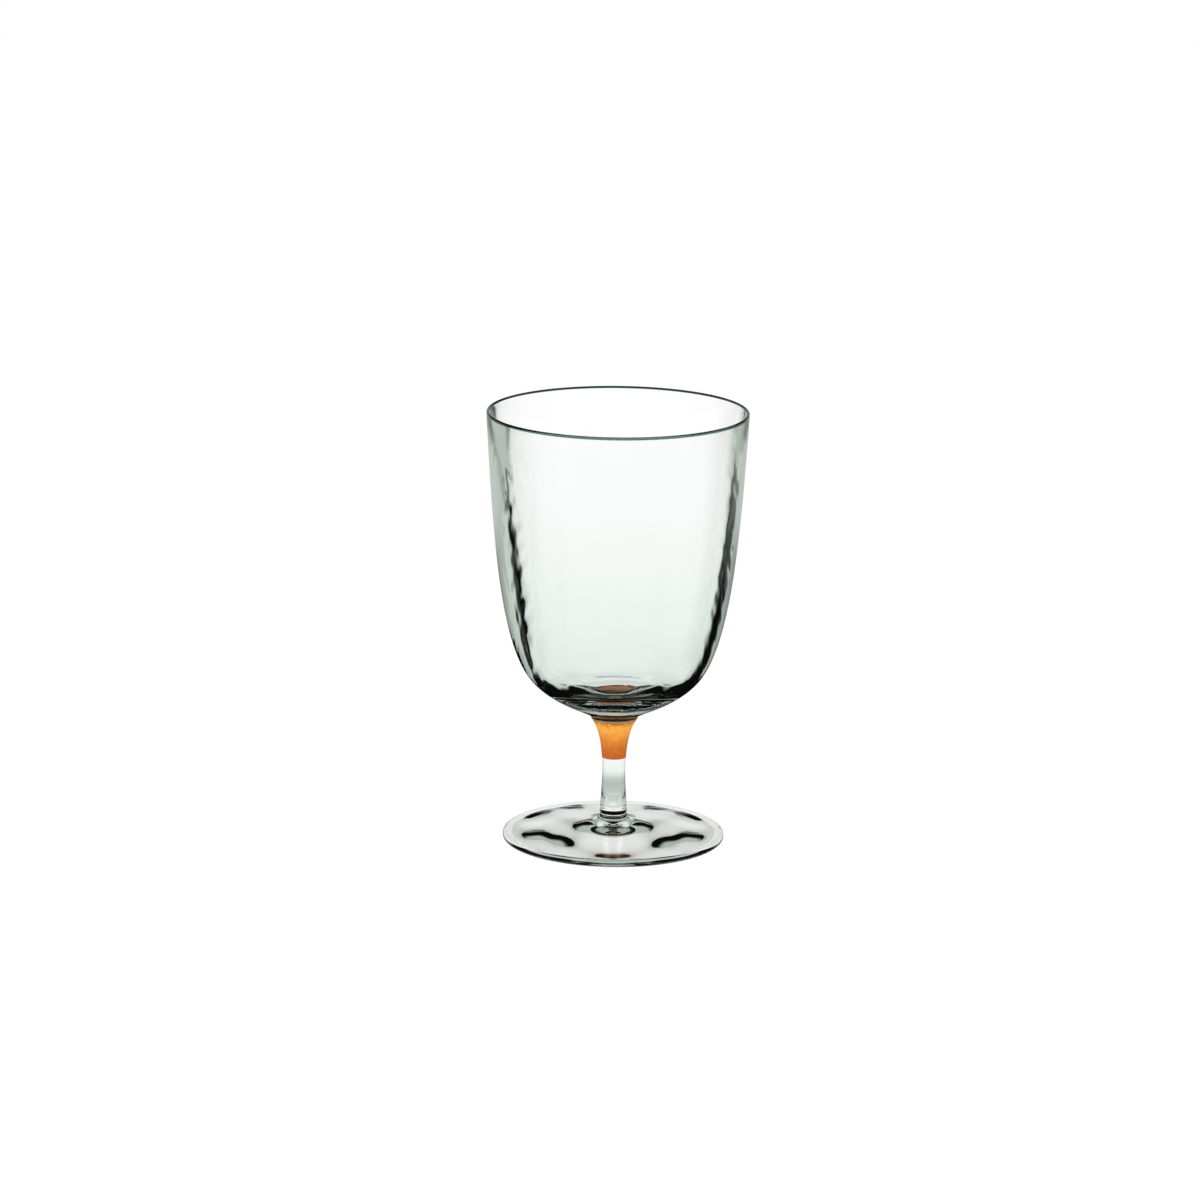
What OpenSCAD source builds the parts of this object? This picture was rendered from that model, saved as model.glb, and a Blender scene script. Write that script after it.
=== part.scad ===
// Water goblet: a bowl, a stem and a foot of clear glass, joined hot, with an amber enamel band on the stem.
// The origin lies on the table, on the axis of the goblet. The lengths are in millimetres.

/* [Bowl] */
// Diameter across the rim
rim_d = 86; // [74:0.5:110]
// Height of the bowl, from its joint with the stem to the rim
bowl_h = 103.4; // [85:0.1:140]
// Thickness of the rounded lip
lip_t = 1.1; // [0.8:0.1:2]
// Diameter outside at the shoulder, where the wall turns in
shoulder_d = 56.3; // [44:0.1:66]
// Height of the shoulder over the joint
shoulder_h = 13.8; // [11.5:0.1:22]
// Slope of the wall at the shoulder, in degrees
shoulder_slope = 50.6; // [42:0.1:60]
// How far the outside's curve is pulled in from the rim, in the upper wall
wall_draw = 2.1; // [0:0.1:4]
// How far the inside's curve is pulled in from the rim, in the upper wall
hollow_draw = 8.4; // [4:0.1:9.5]
// Thickness of the wall at the shoulder
shoulder_t = 5.2; // [3:0.1:7]
// Thickness of the glass under the middle of the hollow
base_t = 14; // [11:0.1:15.5]
// How far the hollow stands off the axis, halfway down
hollow_shift = 1.3; // [0:0.1:1.5]

/* [Optic panels] */
// Number of panels round the inside of the bowl
panels = 5; // [4:1:10]
// How far the ridges between the panels stand in
panel_depth = 1.2; // [0.5:0.1:3]
// Height over which the ridges fade out towards the rim
panel_fade_h = 70; // [40:1:80]
// Diameter of the middle of the floor, which the ridges leave plain
plain_d = 28; // [0:1:30]
// Turn of the panels about the axis, in degrees
panel_turn = 54; // [0:1:72]

/* [Stem] */
// Height of the stem between its two joints
stem_h = 31; // [20:0.1:80]
// Diameter at the joint with the bowl
joint_d = 15.1; // [12:0.1:19]
// Diameter at the waist
waist_d = 7.5; // [6:0.1:10]
// Height of the waist over the joint with the foot
waist_h = 13.5; // [8:0.1:16]
// Diameter at the joint with the foot
stem_foot_d = 8.8; // [8:0.1:11]

/* [Amber band] */
// Height of the band, down from the joint with the bowl
band_h = 13.4; // [8:0.1:17]
// Thickness of the enamel
band_t = 0.15; // [0.1:0.01:0.4]

/* [Foot] */
// Diameter across the foot
foot_d = 73.4; // [60:0.1:90]
// Height of the foot at its joint with the stem
foot_h = 10; // [8:0.1:14]
// Thickness of the rounded edge
foot_edge_t = 2.4; // [1.8:0.1:4]
// Width of the flat ring that the foot rests on
rest_w = 2; // [1:0.1:4]
// Height of the hollow under the foot at the axis
under_h = 1.5; // [0.5:0.1:2.5]
// How far the bead at the top of the foot stands out from the stem
bead_out = 0.17; // [0.1:0.01:0.4]
// Height of the bead
bead_h = 1.6; // [1:0.1:2.5]

/* [Hidden] */
$fn = 96;

// Steps along one curve of an outline, and round the quarter of a small edge
curve_steps = 12;
edge_steps = 4;
// Columns of the hollow in one panel
panel_columns = 14;
// Overrun of the hollow above the rim, and the flat land that it leaves inside the lip
overrun = 1;
land = 0.05;
// Heights over which the shift of the hollow grows, down from the lip and up from the floor
shift_fade_h = 60;
shift_rise_h = 40;

lip_r = lip_t / 2;
joint_z = foot_h + stem_h;
rim_z = joint_z + bowl_h;
waist_z = foot_h + waist_h;
band_z = joint_z - band_h;
edge_r = foot_edge_t / 2;

// Pulls of the curves, as shares of the heights and widths that they span
upper_pull_share = 0.42;
shoulder_pull_shares = [0.182, 0.825];
neck_pull_share = 0.186;
hollow_pull_shares = [0.32, 0.12, 2.3];
floor_pull_share = 0.6;
flare_pull_shares = [[0.56, 0.154], [1, 0.446]];
lower_pull_shares = [[0, 0.3], [0.6, 0.6]];
cone_pull_shares = [[0.013, 0.5], [0.27, 0.73]];
under_pull_shares = [0.45, 0.65];

function bezier(a, b, c, d, steps = curve_steps) = [
    for (i = [0 : steps])
        let (t = i / steps, u = 1 - t)
        u * u * u * a + 3 * u * u * t * b + 3 * u * t * t * c + t * t * t * d
];

// Curve from a to b whose two pulls are shares of the way across and of the way down
function shared_curve(a, b, shares) = bezier(
    a,
    a + [shares[0].x * (b.x - a.x), shares[0].y * (b.y - a.y)],
    a + [shares[1].x * (b.x - a.x), shares[1].y * (b.y - a.y)],
    b
);

// Arc about a centre, from one angle to another
function arc(centre, radius, from, to, steps) = [
    for (i = [0 : steps])
        let (a = from + (to - from) * i / steps)
        centre + radius * [cos(a), sin(a)]
];

function without_first(points) = [for (i = [1 : len(points) - 1]) points[i]];

// Outside of the bowl, from the lip down to the joint
shoulder = [shoulder_d / 2, joint_z + shoulder_h];
shoulder_way = [cos(shoulder_slope), sin(shoulder_slope)];
lip_z = rim_z - lip_r;
upper_span = lip_z - shoulder.y;
bowl_side = concat(
    bezier(
        [rim_d / 2, lip_z],
        [rim_d / 2 - wall_draw, lip_z - upper_pull_share * upper_span],
        shoulder + shoulder_pull_shares[0] * upper_span * shoulder_way,
        shoulder
    ),
    without_first(bezier(
        shoulder,
        shoulder - shoulder_pull_shares[1] * shoulder_h * shoulder_way,
        [joint_d / 2, joint_z + neck_pull_share * shoulder_h],
        [joint_d / 2, joint_z]
    ))
);

// Middle of a panel on the inside of the bowl, from the lip down to the axis
hollow_z = joint_z + base_t;
hollow_shoulder = shoulder + shoulder_t * [-shoulder_way.y, shoulder_way.x];
hollow_fall = (hollow_shoulder.y - hollow_z) / shoulder_way.y;
hollow_side = concat(
    bezier(
        [rim_d / 2 - lip_t - land, lip_z],
        [rim_d / 2 - hollow_draw, lip_z - hollow_pull_shares[0] * upper_span],
        hollow_shoulder + hollow_pull_shares[1] * upper_span * shoulder_way,
        hollow_shoulder
    ),
    without_first(bezier(
        hollow_shoulder,
        hollow_shoulder - hollow_pull_shares[2] * hollow_fall * shoulder_way,
        [floor_pull_share * hollow_shoulder.x, hollow_z],
        [0, hollow_z]
    ))
);

// Side of the stem, from the bowl down to the waist and on to the foot
stem_side = concat(
    shared_curve([joint_d / 2, joint_z], [waist_d / 2, waist_z], flare_pull_shares),
    without_first(shared_curve([waist_d / 2, waist_z], [stem_foot_d / 2, foot_h], lower_pull_shares))
);
stem_table = [for (p = stem_side) [p.y, p.x]];

// Top of the foot, from the bead at the stem out to the edge
bead_r = stem_foot_d / 2 + bead_out;
bead_steps = edge_steps * 2;
bead_side = [
    for (i = [0 : bead_steps])
        let (a = 180 * i / bead_steps)
        [stem_foot_d / 2 + bead_out * sin(a), foot_h - bead_h * (1 - cos(a)) / 2]
];
foot_side = shared_curve(
    [stem_foot_d / 2, foot_h - bead_h],
    [foot_d / 2 - edge_r, foot_edge_t],
    cone_pull_shares
);
rest_r = foot_d / 2 - edge_r - rest_w;

function ease(x) = x < 0 ? 0 : x < 1 ? x * (2 - x) : 1;

// How far a ridge stands in at one point of the hollow, seen at an angle from the middle of its panel
function ridge_rise(p) =
    panel_depth
    * ease((rim_z - p.y) / panel_fade_h)
    * ease((p.x - plain_d / 2) / (hollow_shoulder.x - plain_d / 2));
function ridge_share(angle) = (1 - cos(angle)) / (1 - cos(180 / panels));

// How far the hollow stands off the axis at one point of its side
function shift(p) =
    hollow_shift * ease((lip_z - p.y) / shift_fade_h) * ease((p.y - hollow_z) / shift_rise_h);

module hollow() {
    columns = panels * panel_columns;
    rings = len(hollow_side) - 1;
    inward = [
        for (i = [0 : rings - 1])
            let (along = hollow_side[i + 1] - hollow_side[max(i - 1, 0)])
            [along.y, -along.x] / norm(along)
    ];
    ring_points = [
        for (i = [0 : rings - 1], j = [0 : columns - 1])
            let (
                p = hollow_side[i],
                off_middle = (j % panel_columns) / panel_columns * 360 / panels - 180 / panels,
                q = p + ridge_rise(p) * ridge_share(off_middle) * inward[i],
                turn = panel_turn + 180 / panels + 360 * j / columns
            )
            [q.x * cos(turn) + shift(p), q.x * sin(turn), q.y]
    ];
    mouth = [for (j = [0 : columns - 1]) [ring_points[j].x, ring_points[j].y, rim_z + overrun]];
    points = concat(mouth, ring_points, [[0, 0, hollow_z]]);
    middle = len(points) - 1;
    faces = concat(
        [[for (j = [columns - 1 : -1 : 0]) j]],
        [
            for (i = [0 : rings - 1], j = [0 : columns - 1], half = [0, 1])
                let (
                    k = (j + 1) % columns,
                    up = i * columns,
                    down = up + columns
                )
                half == 0 ? [up + j, up + k, down + k] : [up + j, down + k, down + j]
        ],
        [for (j = [0 : columns - 1]) [rings * columns + j, rings * columns + (j + 1) % columns, middle]]
    );
    polyhedron(points, faces);
}

module bowl() {
    color([0.84, 0.90, 0.87])
        difference() {
            rotate_extrude()
                polygon(concat(
                    [[0, joint_z], [0, lip_z]],
                    arc([rim_d / 2 - lip_r, lip_z], lip_r, 180, 0, edge_steps * 2),
                    without_first(bowl_side)
                ));
            hollow();
        }
}

module stem() {
    color([0.80, 0.87, 0.83])
        rotate_extrude()
            polygon(concat([[0, foot_h], [0, joint_z]], stem_side));
}

module foot() {
    color([0.84, 0.90, 0.87])
        rotate_extrude()
            polygon(concat(
                bead_side,
                without_first(foot_side),
                without_first(arc([foot_d / 2 - edge_r, edge_r], edge_r, 90, -90, edge_steps * 2)),
                bezier(
                    [rest_r, 0],
                    [rest_r * (1 - under_pull_shares[0]), under_pull_shares[1] * under_h],
                    [rest_r * under_pull_shares[0], under_h],
                    [0, under_h]
                ),
                [[0, foot_h]]
            ));
}

module amber_band() {
    side = concat(
        [for (p = stem_side) if (p.y > band_z) p],
        [[lookup(band_z, stem_table), band_z]]
    );
    last = len(side) - 1;
    color([0.90, 0.58, 0.22])
        rotate_extrude()
            polygon(concat(
                side,
                [for (i = [last : -1 : 0]) side[i] + [band_t, 0]]
            ));
}

bowl();
stem();
foot();
amber_band();
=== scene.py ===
import math

import bpy
import numpy as np
from mathutils import Matrix, Vector


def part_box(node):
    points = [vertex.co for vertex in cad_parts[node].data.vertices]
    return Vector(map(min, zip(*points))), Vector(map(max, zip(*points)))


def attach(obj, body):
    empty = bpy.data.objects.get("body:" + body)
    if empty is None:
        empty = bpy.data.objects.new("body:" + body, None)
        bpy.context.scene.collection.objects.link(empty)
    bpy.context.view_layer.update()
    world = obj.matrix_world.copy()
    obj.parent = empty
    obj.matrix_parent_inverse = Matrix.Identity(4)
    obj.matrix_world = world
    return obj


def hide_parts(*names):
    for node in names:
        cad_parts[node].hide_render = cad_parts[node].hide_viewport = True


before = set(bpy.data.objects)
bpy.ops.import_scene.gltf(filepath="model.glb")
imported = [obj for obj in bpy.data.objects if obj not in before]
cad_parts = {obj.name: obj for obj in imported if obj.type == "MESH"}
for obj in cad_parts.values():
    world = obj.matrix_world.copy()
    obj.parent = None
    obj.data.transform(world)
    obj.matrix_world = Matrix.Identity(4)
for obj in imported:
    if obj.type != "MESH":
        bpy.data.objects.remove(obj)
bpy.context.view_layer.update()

MM = 0.001

# Heights of the joints and of the rim, from the CAD frame
FOOT_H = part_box("stem")[0][2]
JOINT_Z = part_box("bowl")[0][2]
RIM_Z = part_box("bowl")[1][2]

# Bowl
RIM_R = 43 * MM
LIP_T = 1.1 * MM
LIP_LINE_H = 0.35 * MM
SHOULDER_R = 28.15 * MM
SHOULDER_H = 13.8 * MM
SHOULDER_SLOPE = math.radians(50.6)
WALL_DRAW = 2.1 * MM
HOLLOW_DRAW = 8.4 * MM
SHOULDER_T = 5.2 * MM
BASE_T = 14 * MM

# How far the hollow stands off the axis, and the heights over which that grows, down from the lip and up from
# the floor
HOLLOW_SHIFT = 1.3 * MM
SHIFT_FADE_H = 60 * MM
SHIFT_RISE_H = 40 * MM

# Optic panels
PANELS = 5
PANEL_DEPTH = 1.2 * MM
PANEL_FADE_H = 70 * MM
PANEL_START_R = 14 * MM
PANEL_TURN = math.radians(18)
RIDGE_ROUNDING_SHARE = 0.12

# Stem and band
JOINT_R = 7.55 * MM
WAIST_R = 3.75 * MM
WAIST_H = 13.5 * MM
STEM_FOOT_R = 4.4 * MM
BAND_H = 13.4 * MM
BAND_T = 0.15 * MM

# Foot
FOOT_R = 36.7 * MM
FOOT_EDGE_T = 2.4 * MM
REST_W = 2 * MM
UNDER_H = 1.5 * MM
BEAD_OUT = 0.17 * MM
BEAD_H = 1.6 * MM

# Pulls of the curves, as shares of the heights and widths that they span
UPPER_PULL_SHARE = 0.42
SHOULDER_PULL_SHARES = (0.182, 0.825)
NECK_PULL_SHARE = 0.186
HOLLOW_PULL_SHARES = (0.32, 0.12, 2.3)
FLOOR_PULL_SHARE = 0.6
FLARE_PULL_SHARES = ((0.56, 0.154), (1, 0.446))
LOWER_PULL_SHARES = ((0, 0.3), (0.6, 0.6))
CONE_PULL_SHARES = ((0.013, 0.5), (0.27, 0.73))
UNDER_PULL_SHARES = (0.45, 0.65)

# Waves of the hand-worked glass: their lengths across and along, their phase and their height, all but the
# phase in millimetres
RIPPLES = ((6.1, 14, 0.4, 0.014), (4.7, 9.5, 2.1, 0.010), (9.3, 8.1, 4.4, 0.012), (7.7, 21, 1.2, 0.016))
UNDER_WAVES = ((48, 50, 0.4, 0.7), (18, 30, 5.2, 0.2), (8, 50, 1.0, 0.06))
TOP_WAVES = ((26, 24, 0.9, 0.2), (9, 30, 2.0, 0.03))

# How the ripples of the hollow lean, across with the height and along with the depth, and the height below
# the lip over which they grow
RIPPLE_LEANS = (1 / 3, 1 / 4)
RIPPLE_FADE_H = 30 * MM

# Radius at which the waves under the foot have grown, and how many times their height the hollow under it has
# to have for the whole of them
UNDER_WAVE_FULL_R = 8 * MM
UNDER_WAVE_ROOM = 2

# Radii between which the waves on the foot grow, and the width over which they fade at its edge
TOP_WAVE_START_R = 2 * STEM_FOOT_R
TOP_WAVE_FULL_R = 18 * MM
TOP_WAVE_FADE_W = 2 * FOOT_EDGE_T

# Resolution of the meshes, and the angles of their columns
COLUMNS = PANELS * 64
CURVE_STEPS = 110
EDGE_STEPS = 12
TURNS = np.arange(COLUMNS) * 2 * math.pi / COLUMNS

# Slots of the materials on a piece of glass: the glass, a hot joint, and the glass of the lip, painted near
# black as shade, or behind the enamel, which shows the enamel with painted light and shade
GLASS_SLOT, WELD_SLOT, PAINTED_SHADE_SLOT = range(3)

# Gap between the two see-through faces of a hot joint
WELD_GAP = 0.005 * MM

# Camera, which stands where the photographer stood
CAMERA_DISTANCE = 1.6607
CAMERA_HEIGHT = 0.4799
FOCAL_PIXELS = 5189.5
PICTURE_PIXELS = 1200
SENSOR_MM = 36
CAMERA_YAW = math.radians(-0.18)
CAMERA_PITCH = math.radians(13.509)
CAMERA_ROLL = math.radians(0.656)


# Outlines, as arrays of radius and height

def bezier(a, b, c, d, steps=CURVE_STEPS):
    t = np.linspace(0, 1, steps + 1)[:, None]
    a, b, c, d = (np.array(p, dtype=float) for p in (a, b, c, d))
    u = 1 - t
    return u**3 * a + 3 * u * u * t * b + 3 * u * t * t * c + t**3 * d


def shared_curve(a, b, shares):
    a, b = np.array(a, dtype=float), np.array(b, dtype=float)
    return bezier(a, a + shares[0] * (b - a), a + shares[1] * (b - a), b)


def arc(centre, radius, start, end, steps=EDGE_STEPS):
    angles = np.radians(np.linspace(start, end, steps + 1))
    return np.array(centre) + radius * np.stack([np.cos(angles), np.sin(angles)], -1)


def join(*curves):
    return np.vstack([curves[0]] + [curve[1:] for curve in curves[1:]])


def bowl_outlines():
    lip_r = LIP_T / 2
    shoulder = np.array([SHOULDER_R, JOINT_Z + SHOULDER_H])
    way = np.array([math.cos(SHOULDER_SLOPE), math.sin(SHOULDER_SLOPE)])
    lip_z = RIM_Z - lip_r
    span = lip_z - shoulder[1]
    outside = join(
        bezier(
            (RIM_R, lip_z),
            (RIM_R - WALL_DRAW, lip_z - UPPER_PULL_SHARE * span),
            shoulder + SHOULDER_PULL_SHARES[0] * span * way,
            shoulder,
        ),
        bezier(
            shoulder,
            shoulder - SHOULDER_PULL_SHARES[1] * SHOULDER_H * way,
            (JOINT_R, JOINT_Z + NECK_PULL_SHARE * SHOULDER_H),
            (JOINT_R, JOINT_Z),
        ),
    )
    hollow_z = JOINT_Z + BASE_T
    inner = shoulder + SHOULDER_T * np.array([-way[1], way[0]])
    hollow = join(
        bezier(
            (RIM_R - LIP_T, lip_z),
            (RIM_R - HOLLOW_DRAW, lip_z - HOLLOW_PULL_SHARES[0] * span),
            inner + HOLLOW_PULL_SHARES[1] * span * way,
            inner,
        ),
        bezier(
            inner,
            inner - HOLLOW_PULL_SHARES[2] * (inner[1] - hollow_z) / way[1] * way,
            (FLOOR_PULL_SHARE * inner[0], hollow_z),
            (0, hollow_z),
        ),
    )
    lip = arc((RIM_R - lip_r, lip_z), lip_r, 0, 180)
    return outside, lip, hollow, inner[0]


def ease(x):
    x = np.clip(x, 0, 1)
    return x * (2 - x)


def waves(kinds, across, along):
    """Height of the waves at places of a surface."""
    total = 0
    for first, second, phase, height in kinds:
        row = np.cos(2 * math.pi * along / (second * MM) + phase)
        total = total + height * MM * np.cos(2 * math.pi * across / (first * MM)) * row
    return total


def hollow_rings(hollow, shoulder_r):
    """The rings of the panelled hollow, from the lip down, each with its own place for every column."""
    along = np.gradient(hollow, axis=0)
    inward = np.stack([along[:, 1], -along[:, 0]], -1) / np.linalg.norm(along, axis=1)[:, None]
    rise = PANEL_DEPTH * ease((RIM_Z - hollow[:, 1]) / PANEL_FADE_H)
    rise = rise * ease((hollow[:, 0] - PANEL_START_R) / (shoulder_r - PANEL_START_R))
    half = math.pi / PANELS
    off = (TURNS - PANEL_TURN) % (2 * half)
    from_ridge = np.minimum(off, 2 * half - off) / half
    rounded = np.maximum(1 - np.sqrt(from_ridge**2 + RIDGE_ROUNDING_SHARE**2), 0)
    ridge = (1 - np.cos(rounded * half)) / (1 - math.cos(half))
    place = hollow[:, None, :] + rise[:, None, None] * ridge[None, :, None] * inward[:, None, :]
    below, above = hollow[0, 1] - hollow[:, 1], hollow[:, 1] - hollow[-1, 1]
    shift = HOLLOW_SHIFT * ease(below / SHIFT_FADE_H) * ease(above / SHIFT_RISE_H)
    place[..., 0] += shift[:, None] * np.cos(TURNS)
    widest, height = hollow[:, 0].max(), hollow[:, 1:]
    lean_across, lean_along = RIPPLE_LEANS
    ripple = waves(
        RIPPLES,
        widest * np.sin(TURNS) + lean_across * height,
        height + lean_along * widest * np.cos(TURNS),
    )
    fade = ease(below / RIPPLE_FADE_H) * ease(hollow[:, 0] / shoulder_r)
    place += (ripple * fade[:, None])[..., None] * inward[:, None, :]
    return place[:-1], hollow[-1]


def turned_rings(outline):
    return np.repeat(outline[:, None, :], COLUMNS, axis=1)


def stem_outlines():
    flare = shared_curve((JOINT_R, JOINT_Z), (WAIST_R, FOOT_H + WAIST_H), FLARE_PULL_SHARES)
    lower = shared_curve((WAIST_R, FOOT_H + WAIST_H), (STEM_FOOT_R, FOOT_H), LOWER_PULL_SHARES)
    side = join(flare, lower)
    band_z = JOINT_Z - BAND_H
    band_r = np.interp(-band_z, -side[:, 1], side[:, 0])
    edge = np.array([[band_r, band_z]])
    coated = np.vstack([side[side[:, 1] > band_z], edge])
    bare = np.vstack([edge, side[side[:, 1] < band_z]])
    return coated, bare


def foot_outlines():
    edge_r = FOOT_EDGE_T / 2
    turn = np.radians(np.linspace(0, 180, EDGE_STEPS + 1))
    bead = np.stack([STEM_FOOT_R + BEAD_OUT * np.sin(turn), FOOT_H - BEAD_H * (1 - np.cos(turn)) / 2], -1)
    top = shared_curve((STEM_FOOT_R, FOOT_H - BEAD_H), (FOOT_R - edge_r, FOOT_EDGE_T), CONE_PULL_SHARES)
    edge = arc((FOOT_R - edge_r, edge_r), edge_r, 90, -90)
    rest_r = FOOT_R - edge_r - REST_W
    ring = np.array([[FOOT_R - edge_r, 0], [rest_r, 0]])
    under = bezier(
        (rest_r, 0),
        (rest_r * (1 - UNDER_PULL_SHARES[0]), UNDER_PULL_SHARES[1] * UNDER_H),
        (rest_r * UNDER_PULL_SHARES[0], UNDER_H),
        (0, UNDER_H),
    )
    return join(bead, top, edge, ring), under


# Meshes

class Shell:
    """A closed mesh of revolution that is built ring by ring, from one pole to the other."""

    def __init__(self, pole):
        self.points = [(0.0, 0.0, float(pole))]
        self.faces = []
        self.slots = []
        self.rings = []
        self.sharp = set()

    def add(self, rings, slot, sharp_start=False):
        cos, sin = np.cos(TURNS), np.sin(TURNS)
        for ring in rings:
            first = len(self.points)
            self.points.extend(zip(ring[:, 0] * cos, ring[:, 0] * sin, ring[:, 1]))
            self._join(self.rings[-1] if self.rings else None, first, slot)
            self.rings.append(first)
            if sharp_start:
                self.sharp.add(first)
                sharp_start = False

    def _join(self, last, first, slot):
        for j in range(COLUMNS):
            k = (j + 1) % COLUMNS
            if last is None:
                self.faces.append((0, first + k, first + j))
            else:
                self.faces.append((last + j, last + k, first + k, first + j))
            self.slots.append(slot)

    def close(self, pole, slot, sharp=False):
        last = self.rings[-1]
        if sharp:
            self.sharp.add(last)
        end = len(self.points)
        self.points.append((0.0, 0.0, float(pole)))
        for j in range(COLUMNS):
            self.faces.append((last + j, last + (j + 1) % COLUMNS, end))
            self.slots.append(slot)

    def build(self, name, materials):
        mesh = bpy.data.meshes.new(name)
        mesh.from_pydata(self.points, [], self.faces)
        for material in materials:
            mesh.materials.append(material)
        mesh.polygons.foreach_set("material_index", self.slots)
        mesh.polygons.foreach_set("use_smooth", [True] * len(self.faces))
        for edge in mesh.edges:
            a, b = sorted(edge.vertices)
            edge.use_edge_sharp = any(r <= a and b < r + COLUMNS for r in self.sharp)
        mesh.update()
        mesh.validate()
        piece = bpy.data.objects.new(name, mesh)
        bpy.context.scene.collection.objects.link(piece)
        return piece


def make_bowl(glass, painted_dark_lip_glass, weld):
    outside, lip, hollow, shoulder_r = bowl_outlines()
    rings, bottom = hollow_rings(hollow, shoulder_r)
    joint = outside[::-1].copy()
    joint[0, 1] += WELD_GAP
    shell = Shell(joint[0, 1])
    shell.add(turned_rings(joint[:1]), WELD_SLOT, sharp_start=True)
    line_z = joint[-1, 1] - LIP_LINE_H
    line = (np.interp(line_z, joint[:, 1], joint[:, 0]), line_z)
    shell.add(turned_rings(np.vstack([joint[1:][joint[1:, 1] < line_z], line])), GLASS_SLOT)
    shell.add(turned_rings(np.vstack([joint[-1:], lip[1:-1]])), PAINTED_SHADE_SLOT)
    shell.add(rings[:1], PAINTED_SHADE_SLOT)
    shell.add(rings[1:], GLASS_SLOT)
    shell.close(bottom[1], GLASS_SLOT)
    return shell.build("bowl_glass", [glass, weld, painted_dark_lip_glass])


def make_stem(glass, coated_glass, weld):
    coated, bare = stem_outlines()
    side = join(coated, bare)[::-1].copy()
    split = len(bare)
    side[0, 1] += WELD_GAP
    side[-1, 1] -= WELD_GAP
    shell = Shell(side[0, 1])
    shell.add(turned_rings(side[:1]), WELD_SLOT, sharp_start=True)
    shell.add(turned_rings(side[1:split]), GLASS_SLOT)
    shell.add(turned_rings(side[split:]), PAINTED_SHADE_SLOT)
    shell.close(side[-1, 1], WELD_SLOT, sharp=True)
    return shell.build("stem_glass", [glass, weld, coated_glass])


def make_foot(glass, weld):
    top, under = foot_outlines()
    outline = join(top, under[:-1])[::-1].copy()
    outline[-1, 1] -= WELD_GAP
    rings = turned_rings(outline)
    radius, height = rings[..., 0], rings[..., 1]
    x, y = radius * np.cos(TURNS), radius * np.sin(TURNS)
    split = len(under) - 1
    room = UNDER_WAVE_ROOM * MM * sum(wave_height for *_, wave_height in UNDER_WAVES)
    start = ease(radius[:split] / UNDER_WAVE_FULL_R)
    end = ease(height[:split] / room)
    height[:split] += start * end * waves(UNDER_WAVES, x[:split], y[:split])
    edge_r = FOOT_R - FOOT_EDGE_T / 2
    start = ease((radius[split:] - TOP_WAVE_START_R) / (TOP_WAVE_FULL_R - TOP_WAVE_START_R))
    end = ease((edge_r - radius[split:]) / TOP_WAVE_FADE_W) * (height[split:] > FOOT_EDGE_T)
    height[split:] += start * end * waves(TOP_WAVES, x[split:], y[split:])
    shell = Shell(under[-1, 1])
    shell.add(rings, GLASS_SLOT)
    shell.close(outline[-1, 1], WELD_SLOT, sharp=True)
    return shell.build("foot_glass", [glass, weld])


def make_band(enamel):
    coated, _ = stem_outlines()
    outer = coated + (BAND_T, 0)
    loop = np.vstack([coated, outer[::-1], coated[:1]])
    mesh = bpy.data.meshes.new("amber_enamel")
    points = [
        (r * math.cos(a), r * math.sin(a), z)
        for r, z in loop[:-1]
        for a in TURNS
    ]
    count = len(loop) - 1
    faces = [
        (
            i * COLUMNS + j,
            i * COLUMNS + (j + 1) % COLUMNS,
            (i + 1) % count * COLUMNS + (j + 1) % COLUMNS,
            (i + 1) % count * COLUMNS + j,
        )
        for i in range(count)
        for j in range(COLUMNS)
    ]
    mesh.from_pydata(points, [], faces)
    mesh.materials.append(enamel)
    mesh.polygons.foreach_set("use_smooth", [True] * len(faces))
    corners = [0, len(coated) - 1, len(coated), count - 1]
    for edge in mesh.edges:
        a, b = sorted(edge.vertices)
        edge.use_edge_sharp = a // COLUMNS == b // COLUMNS and a // COLUMNS in corners
    mesh.update()
    piece = bpy.data.objects.new("amber_enamel", mesh)
    bpy.context.scene.collection.objects.link(piece)
    return piece


# Materials

# How strongly the glass's faces reflect, as a share of what bare glass does
SHEEN_SHARE = 0.25
# Mottling of the painted shade of the glass: waves to the metre, and how far it carries a shade up or down,
# as a share of the height of all the shades
SHADE_MOTTLE_SCALE = 45.0
SHADE_MOTTLE_DRIFT_SHARE = 0.25
# Times that the glass mirrors a ray inside itself before it lets the ray out
MIRRORED_AT_MOST = 3

# Tints of the glass for a ray that it lets straight through, and the near-black tint of the lip for every
# ray, which is painted shade where the rim shows dark
CLEAR_TINT = (0.992, 0.998, 0.994)
STEM_TINT = (0.90, 0.925, 0.90)
FOOT_TINT = (0.955, 0.97, 0.95)
LIP_PAINTED_SHADE_TINT = (0.02, 0.05, 0.04)

# Tints of the glass up its height, as pairs of a height and a tint: the glass's own pale green, with painted
# shade where the glass shows dark, darker low in the bowl, in a dark band up the stem, and warmer at the
# foot's lower edge
BOWL_TINTS_AND_PAINTED_SHADE = (
    (50 * MM, (0.90, 0.93, 0.91)),
    (75 * MM, (0.92, 0.955, 0.93)),
    (100 * MM, (0.97, 0.985, 0.975)),
    (130 * MM, (0.995, 1.0, 0.997)),
)
STEM_TINTS_AND_PAINTED_SHADE = (
    (11.0 * MM, (0.90, 0.94, 0.91)),
    (13.5 * MM, (0.76, 0.82, 0.77)),
    (15.5 * MM, (0.50, 0.56, 0.51)),
    (19.5 * MM, (0.46, 0.52, 0.47)),
    (22.5 * MM, (0.86, 0.90, 0.87)),
    (27.0 * MM, (0.94, 0.97, 0.95)),
)
FOOT_TINTS_AND_PAINTED_SHADE = (
    (0 * MM, (0.95, 0.96, 0.92)),
    (1 * MM, (0.97, 0.99, 0.97)),
    (9 * MM, (0.97, 0.995, 0.975)),
)
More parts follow.
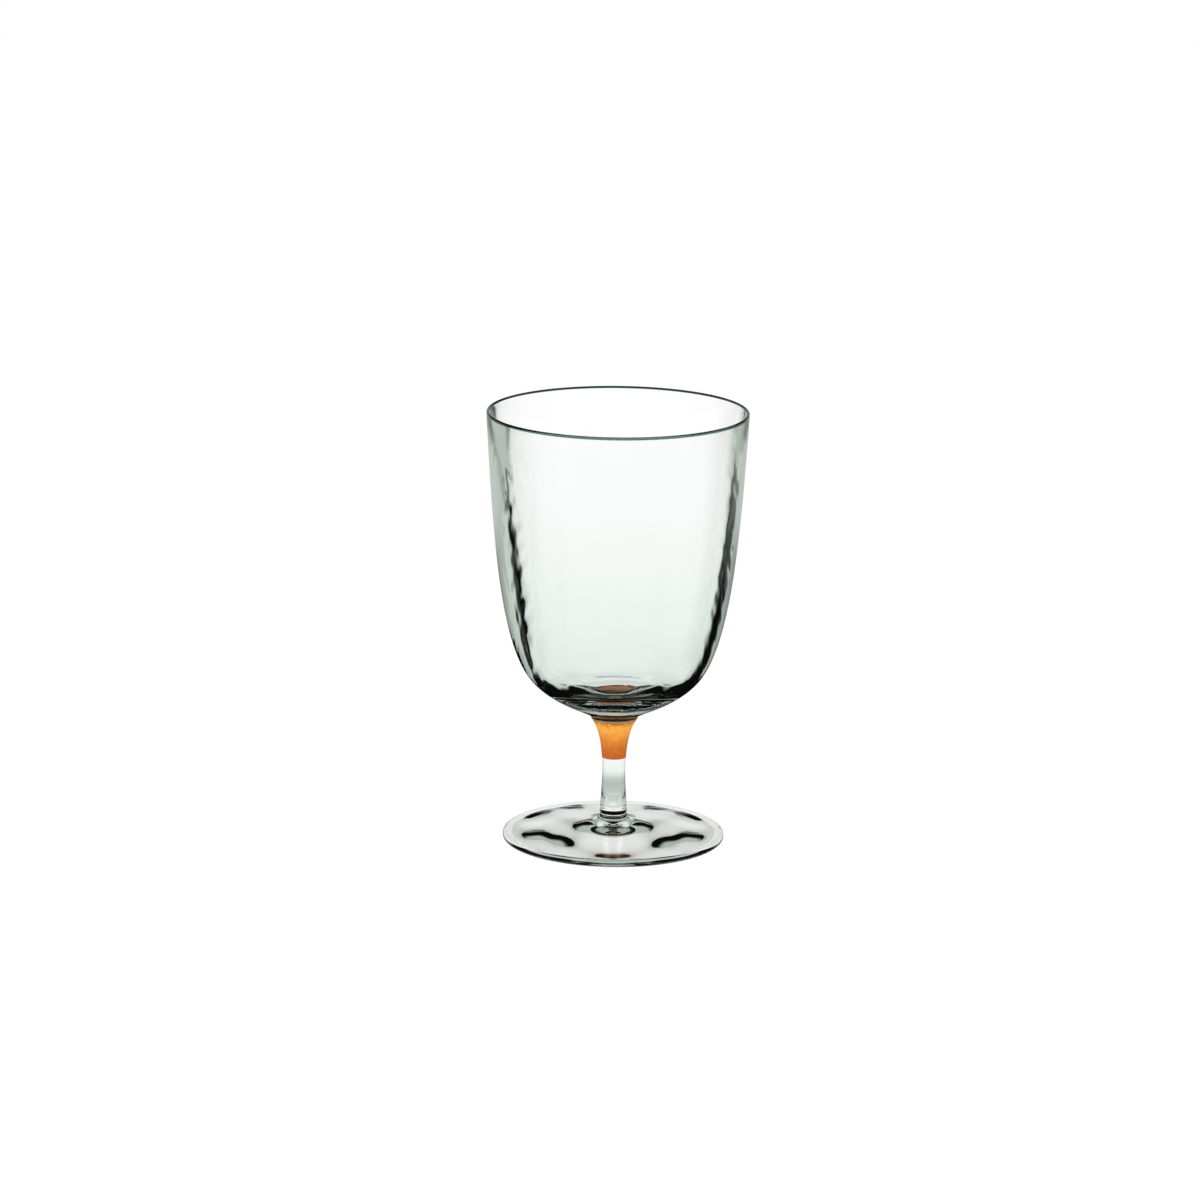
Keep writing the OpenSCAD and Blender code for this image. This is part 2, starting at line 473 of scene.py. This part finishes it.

# Shades of the enamel as it shows outside, and as the glass behind it shows it, as pairs of a place among the
# shades and a tint, from the band's lower edge to the joint. Outside, the amber's own colour carries painted
# shade, darker towards the lower edge and at the brim by the joint, and painted light in its upper part below
# the brim
AMBER_TONES_AND_PAINTED_SHADE = (
    (0.0, (0.50, 0.11, 0.012)),
    (0.35, (0.72, 0.22, 0.025)),
    (0.75, (1.0, 0.44, 0.065)),
    (1.0, (0.50, 0.16, 0.02)),
)
# Behind the glass, a copy of the enamel with painted light and shade: pale and pinkish low down, near black
# by the joint
UNDER_PAINTED_LIGHT_AND_SHADE = (
    (0.0, (0.95, 0.72, 0.58)),
    (0.6, (0.85, 0.60, 0.46)),
    (0.85, (0.75, 0.50, 0.38)),
    (1.0, (0.10, 0.03, 0.006)),
)
# How far the band's whole height and the brim at its top go through the shades, and the height of that brim,
# which carries the painted shade by the joint
BAND_SPAN = 0.8
BRIM_SPAN = 0.15
BRIM_H = 2.2 * MM
# Clouds and grain in the enamel: waves to the metre, how far the clouds go through the shades, and the depth
# of the grain
ENAMEL_CLOUD_SCALE = 900.0
ENAMEL_CLOUD_SPAN = 0.5
GRAIN_SCALE = 4000.0
GRAIN_H = 0.05 * MM


class Tree:
    """Short ways to add and link shader nodes."""

    def __init__(self, owner):
        owner.use_nodes = True
        self.nodes = owner.node_tree.nodes
        self.links = owner.node_tree.links
        self.nodes.clear()

    def add(self, kind, **values):
        node = self.nodes.new(kind)
        for key, value in values.items():
            setattr(node, key, value)
        return node

    def put(self, node, **inputs):
        for key, value in inputs.items():
            self.feed(node.inputs[key.replace("_", " ")], value)
        return node

    def feed(self, socket, value):
        if isinstance(value, bpy.types.NodeSocket):
            self.links.new(value, socket)
        else:
            socket.default_value = value

    def math(self, operation, *values):
        node = self.add("ShaderNodeMath", operation=operation)
        for socket, value in zip(node.inputs, values):
            self.feed(socket, value)
        return node.outputs[0]

    def product(self, first, *others):
        for other in others:
            first = self.math("MULTIPLY", first, other)
        return first

    def smooth(self, value, low, high, out_low=0.0, out_high=1.0):
        node = self.add("ShaderNodeMapRange", interpolation_type="SMOOTHSTEP")
        for socket, item in zip(node.inputs, (value, low, high, out_low, out_high)):
            self.feed(socket, item)
        return node.outputs[0]

    def mix(self, factor, first, second):
        node = self.add("ShaderNodeMixShader")
        self.feed(node.inputs[0], factor)
        self.links.new(first, node.inputs[1])
        self.links.new(second, node.inputs[2])
        return node.outputs[0]

    def choose(self, factor, first, second):
        """The first value where the factor is 0, the second where it is 1."""
        rest = self.math("SUBTRACT", 1.0, factor)
        return self.math("ADD", self.product(rest, first), self.product(factor, second))

    def shaded(self, place, shades):
        """Colour at a place among the shades, which are pairs of a place from 0 to 1 and a tint."""
        ramp = self.add("ShaderNodeValToRGB")
        self.links.new(place, ramp.inputs[0])
        stops = ramp.color_ramp.elements
        while len(stops) < len(shades):
            stops.new(0.5)
        for stop, (position, tint) in zip(stops, shades):
            stop.position = position
            stop.color = (*tint, 1)
        return ramp.outputs[0]

    def reached(self, depth, times):
        """1 for a ray that has at least so many steps of one kind behind it, 0 for the others."""
        path = self.add("ShaderNodeLightPath")
        return self.math("GREATER_THAN", path.outputs[depth], times - 0.5)

    def was_mirrored(self):
        return self.reached("Glossy Depth", 1)

    def was_inside(self):
        return self.reached("Transmission Depth", 1)

    def was_trapped(self):
        return self.reached("Glossy Depth", MIRRORED_AT_MOST)


def glass_material(name, tint, shades=()):
    """Clear glass; shades are pairs of a height and a tint that carry painted shade, mottled between them."""
    material = bpy.data.materials.new(name)
    tree = Tree(material)
    shader = tree.put(
        tree.add("ShaderNodeBsdfPrincipled"),
        Base_Color=painted_shade_by_height(tree, shades) if shades else (*tint, 1),
        Roughness=0.0,
        IOR=1.5,
        Specular_Tint=(SHEEN_SHARE, SHEEN_SHARE, SHEEN_SHARE, 1),
        Transmission_Weight=1.0,
    )
    clear = tree.put(tree.add("ShaderNodeBsdfTransparent"), Color=(*tint, 1))
    shadow = tree.add("ShaderNodeLightPath").outputs["Is Shadow Ray"]
    through = tree.math("MAXIMUM", shadow, tree.was_trapped())
    out = tree.add("ShaderNodeOutputMaterial")
    tree.links.new(tree.mix(through, shader.outputs[0], clear.outputs[0]), out.inputs["Surface"])
    return material


def painted_shade_by_height(tree, shades):
    """Colour at the height of the surface, from tints that carry painted shade, with mottling that carries
    each shade up and down.
    """
    place = tree.add("ShaderNodeTexCoord").outputs["Object"]
    parts = tree.add("ShaderNodeSeparateXYZ")
    tree.links.new(place, parts.inputs[0])
    cloud = tree.put(tree.add("ShaderNodeTexNoise"), Vector=place, Scale=SHADE_MOTTLE_SCALE, Detail=3.0)
    low, high = shades[0][0], shades[-1][0]
    drift = tree.product(tree.math("SUBTRACT", cloud.outputs[0], 0.5), SHADE_MOTTLE_DRIFT_SHARE * (high - low))
    span = tree.add("ShaderNodeMapRange")
    for socket, item in zip(span.inputs, (tree.math("ADD", parts.outputs["Z"], drift), low, high)):
        tree.feed(socket, item)
    return tree.shaded(span.outputs[0], [((height - low) / (high - low), tint) for height, tint in shades])


def weld_material():
    material = bpy.data.materials.new("hot_joint")
    tree = Tree(material)
    clear = tree.put(tree.add("ShaderNodeBsdfTransparent"), Color=(1, 1, 1, 1))
    out = tree.add("ShaderNodeOutputMaterial")
    tree.links.new(clear.outputs[0], out.inputs["Surface"])
    return material


def amber_material(name, shades):
    material = bpy.data.materials.new(name)
    tree = Tree(material)
    place = tree.add("ShaderNodeTexCoord").outputs["Object"]
    height = tree.add("ShaderNodeSeparateXYZ")
    tree.links.new(place, height.inputs[0])
    # Place among the shades by height, which carries the painted light and shade up the band
    up = tree.smooth(height.outputs["Z"], JOINT_Z - BAND_H, JOINT_Z, 0.0, BAND_SPAN)
    brim = tree.smooth(height.outputs["Z"], JOINT_Z - BRIM_H, JOINT_Z, 0.0, BRIM_SPAN)
    up = tree.math("ADD", up, brim)
    cloud = tree.put(tree.add("ShaderNodeTexNoise"), Vector=place, Scale=ENAMEL_CLOUD_SCALE, Detail=3.0)
    drift = tree.product(tree.math("SUBTRACT", cloud.outputs[0], 0.5), ENAMEL_CLOUD_SPAN)
    grain = tree.put(tree.add("ShaderNodeTexNoise"), Vector=place, Scale=GRAIN_SCALE, Detail=2.0)
    bump = tree.put(tree.add("ShaderNodeBump"), Strength=0.3, Distance=GRAIN_H, Height=grain.outputs[0])
    shader = tree.put(
        tree.add("ShaderNodeBsdfPrincipled"),
        Base_Color=tree.shaded(tree.math("ADD", up, drift), shades),
        Roughness=0.45,
        IOR=1.5,
        Specular_IOR_Level=0.2,
        Normal=bump.outputs[0],
    )
    out = tree.add("ShaderNodeOutputMaterial")
    tree.links.new(shader.outputs[0], out.inputs["Surface"])
    return material


# Studio, which is white to rays that are straight or only refracted

# The floor: its radius in metres, the sides of its outline, the shade of its paper, and how much of its light
# is a glow that no shadow dims
STAGE_R = 9.0
STAGE_SIDES = 96
PAPER_SHADE = 0.9
GLOW_SHARE = 0.92
# How bright the studio is to a mirrored ray where nothing pale lies
STUDIO_DARK = 0.004
# Soft panels on the studio's walls, as a mirrored ray sees them: azimuth from +Y towards +X, half width and
# softness, lowest and highest elevation and softness, all in degrees, and level
WALL_PANELS = (
    (0, 32, 6, -5, 8, 6, 1.0),
    (28, 13, 4, 12, 30, 4, 0.9),
    (-28, 13, 4, 12, 30, 4, 0.9),
    (180, 60, 8, -5, 25, 8, 0.8),
    (90, 22, 6, -5, 25, 6, 0.8),
    (-90, 22, 6, -5, 25, 6, 0.8),
)
# Pale stretches of the floor, as a mirrored ray sees them: azimuth, half width and softness in degrees, the
# radii where they start and end and their softness in metres, and level
FLOOR_SECTORS = (
    (-12, 27, 6, 0.215, STAGE_R, 0.02, 0.75),
    (34, 22, 5, 0.31, STAGE_R, 0.02, 0.6),
    (-69, 17, 5, 0.16, 0.215, 0.015, 0.75),
    (180, 95, 10, 0.035, 0.11, 0.02, 0.8),
    (180, 60, 8, 0.24, STAGE_R, 0.02, 0.7),
    (90, 30, 8, 0.13, STAGE_R, 0.03, 0.7),
    (-92, 28, 8, 0.27, STAGE_R, 0.02, 0.7),
    (-115, 18, 6, 0.12, 0.27, 0.02, 0.7),
)
# What a trapped ray sees, one that the glass mirrored as often as it may: stretches of the floor and panels
# on the walls, as above
TRAPPED_SECTORS = (
    (-75, 25, 5, 0.14, 0.228, 0.012, 0.55),
    (-15, 33, 5, 0.20, STAGE_R, 0.02, 0.55),
    (40, 20, 6, 0.27, STAGE_R, 0.02, 0.5),
    (180, 60, 8, 0.09, STAGE_R, 0.03, 0.5),
    (90, 30, 8, 0.12, STAGE_R, 0.03, 0.5),
    (-92, 28, 8, 0.24, STAGE_R, 0.012, 0.5),
    (-115, 18, 6, 0.09, 0.24, 0.02, 0.5),
)
TRAPPED_PANELS = (
    (0, 55, 10, 24, 41, 2, 0.55),
    (180, 105, 10, 8, 48, 3, 0.45),
)
# What the outside of the glass throws back is pale ahead, on the floor from a radius on and on the walls up
# to an elevation, fading from half of it: half width and softness in degrees, radius and softness in metres,
# elevation in degrees, and level
OUTER_HALF = 48
OUTER_SOFT = 12
OUTER_START = 0.40
OUTER_EDGE = 0.06
OUTER_HIGH = 17
OUTER_LEVEL = 0.6
# Tint of all that a mirrored ray sees
MIRRORED_TINT = (0.90, 1.0, 0.91, 1)
# Least distance from the middle at which a direction from it is told
LEAST_REACH = 0.1 * MM
# Lamps: name, place, width and power, and the place that they all point at
LAMPS = (
    ("key", (-1.1, -1.4, 1.6), 0.8, 20),
    ("fill", (1.4, -0.8, 1.2), 1.0, 9),
)
LAMP_TARGET = (0, 0, 0.08)


def facing(tree, x, y, azimuth, half, soft):
    """1 where x, y lies within the sector, 0 outside it, and the distance of x, y from the middle."""
    reach = tree.math("SQRT", tree.math("ADD", tree.product(x, x), tree.product(y, y)))
    reach = tree.math("MAXIMUM", reach, LEAST_REACH)
    a = math.radians(azimuth)
    along = tree.math("ADD", tree.product(x, math.sin(a)), tree.product(y, math.cos(a)))
    cosine = tree.math("DIVIDE", along, reach)
    low, high = math.cos(math.radians(half + soft)), math.cos(math.radians(half - soft))
    return tree.smooth(cosine, low, high), reach


def wall_level(tree, x, y, z, panels):
    """How bright the world is in a direction, from the panels that lie there."""
    level = STUDIO_DARK
    for azimuth, half, soft, low, high, rise, strength in panels:
        across, _ = facing(tree, x, y, azimuth, half, soft)
        lower = tree.smooth(z, math.sin(math.radians(low - rise)), math.sin(math.radians(low + rise)))
        end, start = math.sin(math.radians(high + rise)), math.sin(math.radians(high - rise))
        upper = tree.smooth(z, end, start, 0, strength)
        level = tree.math("ADD", level, tree.product(across, lower, upper))
    return level


def make_world():
    world = bpy.data.worlds.new("studio")
    bpy.context.scene.world = world
    tree = Tree(world)
    direction = tree.add("ShaderNodeTexCoord").outputs["Generated"]
    parts = tree.add("ShaderNodeSeparateXYZ")
    tree.links.new(direction, parts.inputs[0])
    x, y, z = parts.outputs
    level = wall_level(tree, x, y, z, WALL_PANELS)
    level = tree.choose(tree.was_trapped(), level, wall_level(tree, x, y, z, TRAPPED_PANELS))
    across, _ = facing(tree, x, y, 0, OUTER_HALF, OUTER_SOFT)
    end, start = math.sin(math.radians(OUTER_HIGH)), math.sin(math.radians(OUTER_HIGH / 2))
    low = tree.smooth(z, end, start, 0, OUTER_LEVEL)
    level = tree.choose(tree.was_inside(), tree.product(across, low), level)
    white = tree.put(tree.add("ShaderNodeBackground"), Color=(1, 1, 1, 1))
    studio = tree.put(tree.add("ShaderNodeBackground"), Color=MIRRORED_TINT, Strength=level)
    out = tree.add("ShaderNodeOutputWorld")
    tree.links.new(tree.mix(tree.was_mirrored(), white.outputs[0], studio.outputs[0]), out.inputs["Surface"])


def floor_level(tree, x, y, sectors):
    """How bright the floor is at x, y, from the sectors that lie on it."""
    level = STUDIO_DARK
    for azimuth, half, soft, start, end, edge, strength in sectors:
        across, reach = facing(tree, x, y, azimuth, half, soft)
        away = tree.smooth(reach, start - edge, start + edge, 0, strength)
        near = tree.smooth(reach, end + edge, end - edge)
        level = tree.math("ADD", level, tree.product(across, away, near))
    return level


def make_floor():
    mesh = bpy.data.meshes.new("floor")
    points = [
        (STAGE_R * math.cos(a), STAGE_R * math.sin(a), 0)
        for a in np.arange(STAGE_SIDES) * 2 * math.pi / STAGE_SIDES
    ]
    mesh.from_pydata(points, [], [list(range(STAGE_SIDES))])
    floor = bpy.data.objects.new("floor", mesh)
    bpy.context.scene.collection.objects.link(floor)
    material = bpy.data.materials.new("floor")
    mesh.materials.append(material)
    tree = Tree(material)
    paper = tree.put(tree.add("ShaderNodeBsdfDiffuse"), Color=(PAPER_SHADE, PAPER_SHADE, PAPER_SHADE, 1))
    glow = tree.put(tree.add("ShaderNodeEmission"), Color=(1, 1, 1, 1), Strength=1.0)
    lit = tree.mix(GLOW_SHARE, paper.outputs[0], glow.outputs[0])
    parts = tree.add("ShaderNodeSeparateXYZ")
    tree.links.new(tree.add("ShaderNodeTexCoord").outputs["Object"], parts.inputs[0])
    x, y, _ = parts.outputs
    level = floor_level(tree, x, y, FLOOR_SECTORS)
    level = tree.choose(tree.was_trapped(), level, floor_level(tree, x, y, TRAPPED_SECTORS))
    across, reach = facing(tree, x, y, 0, OUTER_HALF, OUTER_SOFT)
    away = tree.smooth(reach, OUTER_START - OUTER_EDGE, OUTER_START + OUTER_EDGE, 0, OUTER_LEVEL)
    level = tree.choose(tree.was_inside(), tree.product(across, away), level)
    studio = tree.put(tree.add("ShaderNodeEmission"), Color=MIRRORED_TINT, Strength=level)
    out = tree.add("ShaderNodeOutputMaterial")
    tree.links.new(tree.mix(tree.was_mirrored(), lit, studio.outputs[0]), out.inputs["Surface"])


def add_lamp(name, place, size, power):
    light = bpy.data.lights.new(name, "AREA")
    light.shape = "DISK"
    light.size = size
    light.energy = power
    lamp = bpy.data.objects.new(name, light)
    lamp.location = place
    lamp.rotation_euler = (Vector(LAMP_TARGET) - Vector(place)).to_track_quat("-Z", "Y").to_euler()
    lamp.visible_camera = False
    lamp.visible_transmission = False
    lamp.visible_glossy = False
    bpy.context.scene.collection.objects.link(lamp)


def make_camera():
    data = bpy.data.cameras.new("camera")
    data.sensor_width = SENSOR_MM
    data.sensor_fit = "HORIZONTAL"
    data.lens = FOCAL_PIXELS / PICTURE_PIXELS * SENSOR_MM
    data.clip_start = 0.05
    data.clip_end = 50
    camera = bpy.data.objects.new("camera", data)
    forward = Vector((
        math.sin(CAMERA_YAW) * math.cos(CAMERA_PITCH),
        math.cos(CAMERA_YAW) * math.cos(CAMERA_PITCH),
        -math.sin(CAMERA_PITCH),
    ))
    right = forward.cross(Vector((0, 0, 1))).normalized()
    up = right.cross(forward)
    right, up = (
        math.cos(CAMERA_ROLL) * right + math.sin(CAMERA_ROLL) * up,
        math.cos(CAMERA_ROLL) * up - math.sin(CAMERA_ROLL) * right,
    )
    turn = Matrix((right, up, -forward)).transposed().to_4x4()
    camera.matrix_world = Matrix.Translation((0, -CAMERA_DISTANCE, CAMERA_HEIGHT)) @ turn
    bpy.context.scene.collection.objects.link(camera)
    bpy.context.scene.camera = camera


# The goblet

make_camera()
# Glass whose colour carries painted shade by height
clear_glass = glass_material("clear_glass", CLEAR_TINT, BOWL_TINTS_AND_PAINTED_SHADE)
stem_clear = glass_material("stem_glass", STEM_TINT, STEM_TINTS_AND_PAINTED_SHADE)
foot_clear = glass_material("foot_glass", FOOT_TINT, FOOT_TINTS_AND_PAINTED_SHADE)
# Painted shade: the lip's glass is nearly black
painted_dark_lip_glass = glass_material("painted_dark_lip_glass", LIP_PAINTED_SHADE_TINT)
weld = weld_material()
enamel = amber_material("amber_enamel", AMBER_TONES_AND_PAINTED_SHADE)
# The enamel as the glass behind it shows it, painted with light and shade
painted_light_under_enamel = amber_material("amber_under_glass_painted_light", UNDER_PAINTED_LIGHT_AND_SHADE)

pieces = (
    (make_bowl(clear_glass, painted_dark_lip_glass, weld), "bowl", "clear_glass"),
    (make_stem(stem_clear, painted_light_under_enamel, weld), "stem", "clear_glass"),
    (make_foot(foot_clear, weld), "foot", "clear_glass"),
    (make_band(enamel), "amber_band", "amber_enamel"),
)
for piece, node, slot in pieces:
    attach(piece, "root")
    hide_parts(node)

make_world()
make_floor()
for lamp in LAMPS:
    add_lamp(*lamp)
bpy.context.scene.view_settings.view_transform = "Standard"
